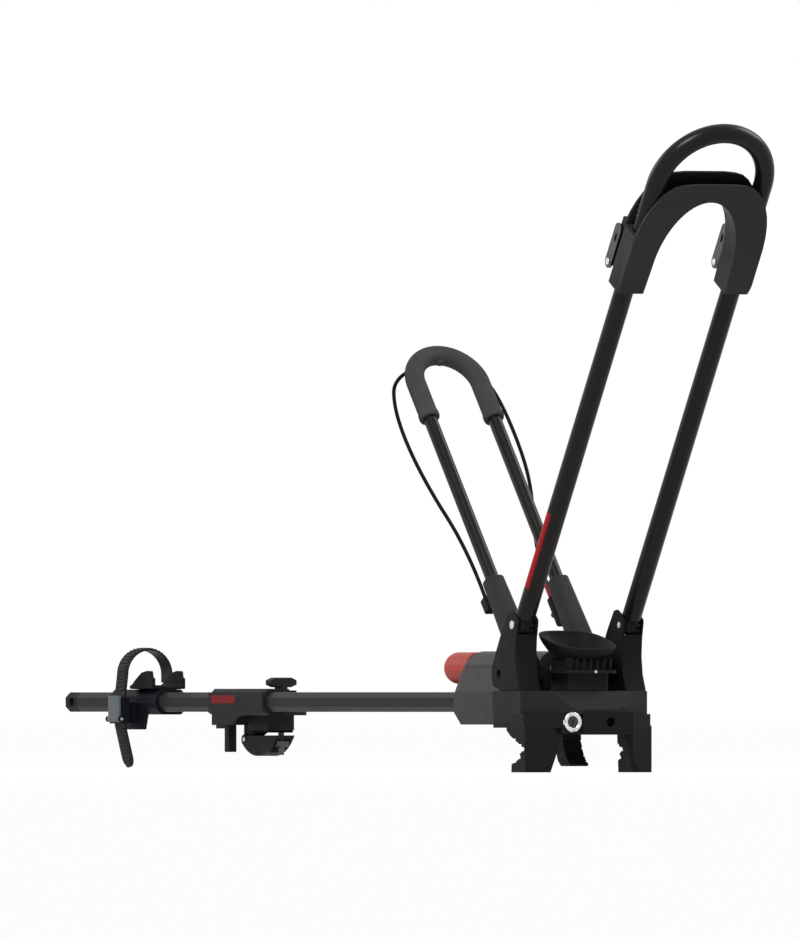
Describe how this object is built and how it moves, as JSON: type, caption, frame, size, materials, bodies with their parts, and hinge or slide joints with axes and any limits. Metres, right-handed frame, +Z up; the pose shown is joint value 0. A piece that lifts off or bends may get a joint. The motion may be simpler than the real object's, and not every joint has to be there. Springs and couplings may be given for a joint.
{
  "type": "roof mounted bike carrier",
  "caption": "Upright bike carrier for roof crossbars: a rail with a clamping head, a tall and a short wheel hoop, a wheel cradle, a rear bar clamp and a strapped wheel tray.",
  "frame": {"origin": "on the mid-plane, below the front hoop's pivot, on the plane where the crossbars sit", "axes": "+X along the rail towards the head end, +Y to the left of the carrier, +Z up"},
  "size_m": [1.8018, 0.194, 0.8392],
  "materials": {
    "rail_paint": "satin dark grey",
    "tube_paint": "semi-gloss black",
    "dark_plastic": "moulded, fine grain",
    "grey_plastic": "moulded, fine grain",
    "tray_plastic": "moulded, faintly blue",
    "strap_plastic": "flexible, toothed",
    "buckle_plastic": "grey-blue",
    "red_plastic": "semi-gloss red",
    "grip_rubber": "matte",
    "pad_rubber": "matte",
    "cable_sheath": "smooth sheath",
    "zinc_steel": "zinc plated",
    "lever_steel": "dull grey",
    "chrome": "polished",
    "lock_dark": "dark"
  },
  "bodies": {
    "head": {"main_rail": "rail_paint", "rail_end_cap": "dark_plastic", "head_base": "dark_plastic", "seat_pad_right": "pad_rubber", "seat_pad_left": "pad_rubber", "head_cover": "grey_plastic", "tower_right": "dark_plastic", "tower_left": "dark_plastic", "front_hoop_pins": "zinc_steel", "rear_hoop_bolts": "zinc_steel", "clamp_housing": "dark_plastic", "wheel_cradle": "grey_plastic", "cradle_foot": "dark_plastic", "cradle_screw": "zinc_steel", "front_block": "dark_plastic", "lock_ring": "chrome"},
    "front_frame": {"front_hoop": "tube_paint", "front_hoop_plugs": "dark_plastic"},
    "saddle": {"tyre_saddle": "dark_plastic", "saddle_back_plate": "dark_plastic", "latch_bases": "dark_plastic", "latch_rivets": "zinc_steel"},
    "latch_right": {"latch_lever_right": "lever_steel"},
    "latch_left": {"latch_lever_left": "lever_steel"},
    "rear_frame": {"rear_hoop": "tube_paint", "hoop_grip": "grip_rubber", "boot_right": "dark_plastic", "boot_left": "dark_plastic", "lock_cable_right": "cable_sheath", "lock_cable_left": "cable_sheath", "cable_clip": "dark_plastic", "lock_body": "dark_plastic", "cable_ferrule": "red_plastic"},
    "button": {"lock_button": "red_plastic"},
    "knob": {"clamp_screw": "zinc_steel", "clamp_knob": "red_plastic"},
    "jaw": {"jaw_carriage": "zinc_steel", "centre_jaw": "dark_plastic"},
    "core": {"lock_core": "lock_dark"},
    "rear_clamp": {"clamp_sleeve": "dark_plastic", "clamp_upper_jaw": "dark_plastic", "clamp_seat_pad": "pad_rubber", "clamp_post": "dark_plastic", "jaw_pin": "zinc_steel", "knob_washer": "dark_plastic"},
    "tee": {"t_knob": "dark_plastic", "clamp_bolt": "zinc_steel"},
    "lower_jaw": {"clamp_lower_jaw": "dark_plastic"},
    "nut": {"barrel_nut": "zinc_steel"},
    "wheel_tray": {"tray_sleeve": "tray_plastic", "wheel_trough": "tray_plastic", "wheel_strap": "strap_plastic", "strap_screw": "zinc_steel", "buckle_body": "tray_plastic", "lever_pin": "zinc_steel"},
    "lever": {"buckle_lever": "buckle_plastic"}
  },
  "joints": [
    {"name": "front_hoop_turn", "type": "hinge", "parent": "head", "child": "front_frame", "pos_m": [0, 0, 0.141], "axis": [0, 1, 0], "range_deg": [-50, 50]},
    {"name": "saddle_slide", "type": "slide", "parent": "front_frame", "child": "saddle", "axis": [0.5344, 0, 0.8453], "range_m": [-0.04, 0.02]},
    {"name": "latch_right_turn", "type": "hinge", "parent": "saddle", "child": "latch_right", "pos_m": [0.25354, -0.0787, 0.6113], "axis": [0, 1, 0], "range_deg": [-70, 0]},
    {"name": "latch_left_turn", "type": "hinge", "parent": "saddle", "child": "latch_left", "pos_m": [0.25354, 0.0787, 0.6113], "axis": [0, 1, 0], "range_deg": [-70, 0]},
    {"name": "rear_hoop_turn", "type": "hinge", "parent": "head", "child": "rear_frame", "pos_m": [-0.038, 0, 0.077], "axis": [0, 1, 0], "range_deg": [-50, 12]},
    {"name": "button_press", "type": "slide", "parent": "rear_frame", "child": "button", "axis": [0.7749, 0, 0.632], "range_m": [0, 0.003], "stiffness_N_per_m": 250, "springref_m": -0.001},
    {"name": "knob_turn", "type": "hinge", "parent": "head", "child": "knob", "pos_m": [-0.2, 0, 0.085], "axis": [1, 0, 0], "range_deg": [0, 7202]},
    {"name": "jaw_slide", "type": "slide", "parent": "head", "child": "jaw", "axis": [-1, 0, 0], "range_m": [0, 0.08]},
    {"name": "lock_turn", "type": "hinge", "parent": "head", "child": "core", "pos_m": [0.053, -0.035, 0.0145], "axis": [1, 0, 0], "range_deg": [0, 90]},
    {"name": "rear_clamp_slide", "type": "slide", "parent": "head", "child": "rear_clamp", "axis": [1, 0, 0], "range_m": [-0.04, 0.22]},
    {"name": "tee_turn", "type": "hinge", "parent": "rear_clamp", "child": "tee", "pos_m": [-0.868, 0.03, 0.05], "axis": [0, 0, 1], "range_deg": [0, 4000]},
    {"name": "lower_jaw_turn", "type": "hinge", "parent": "rear_clamp", "child": "lower_jaw", "pos_m": [-0.947, 0.03, -0.009], "axis": [0, 1, 0], "range_deg": [0, 10.1]},
    {"name": "nut_slide", "type": "slide", "parent": "rear_clamp", "child": "nut", "axis": [0, 0, -1], "range_m": [0, 0.0139]},
    {"name": "tray_slide", "type": "slide", "parent": "head", "child": "wheel_tray", "axis": [1, 0, 0], "range_m": [-0.08, 0.04]},
    {"name": "lever_turn", "type": "hinge", "parent": "wheel_tray", "child": "lever", "pos_m": [-1.183, -0.052, 0.018], "axis": [1, 0, 0], "range_deg": [0, 60]}
  ],
  "couplings": [
    {"joint": "knob_turn", "follows": "jaw_slide", "rad_per_m": 1570.8},
    {"joint": "lower_jaw_turn", "follows": "tee_turn", "ratio": 0.0025},
    {"joint": "nut_slide", "follows": "tee_turn", "m_per_rad": 0.000198}
  ]
}
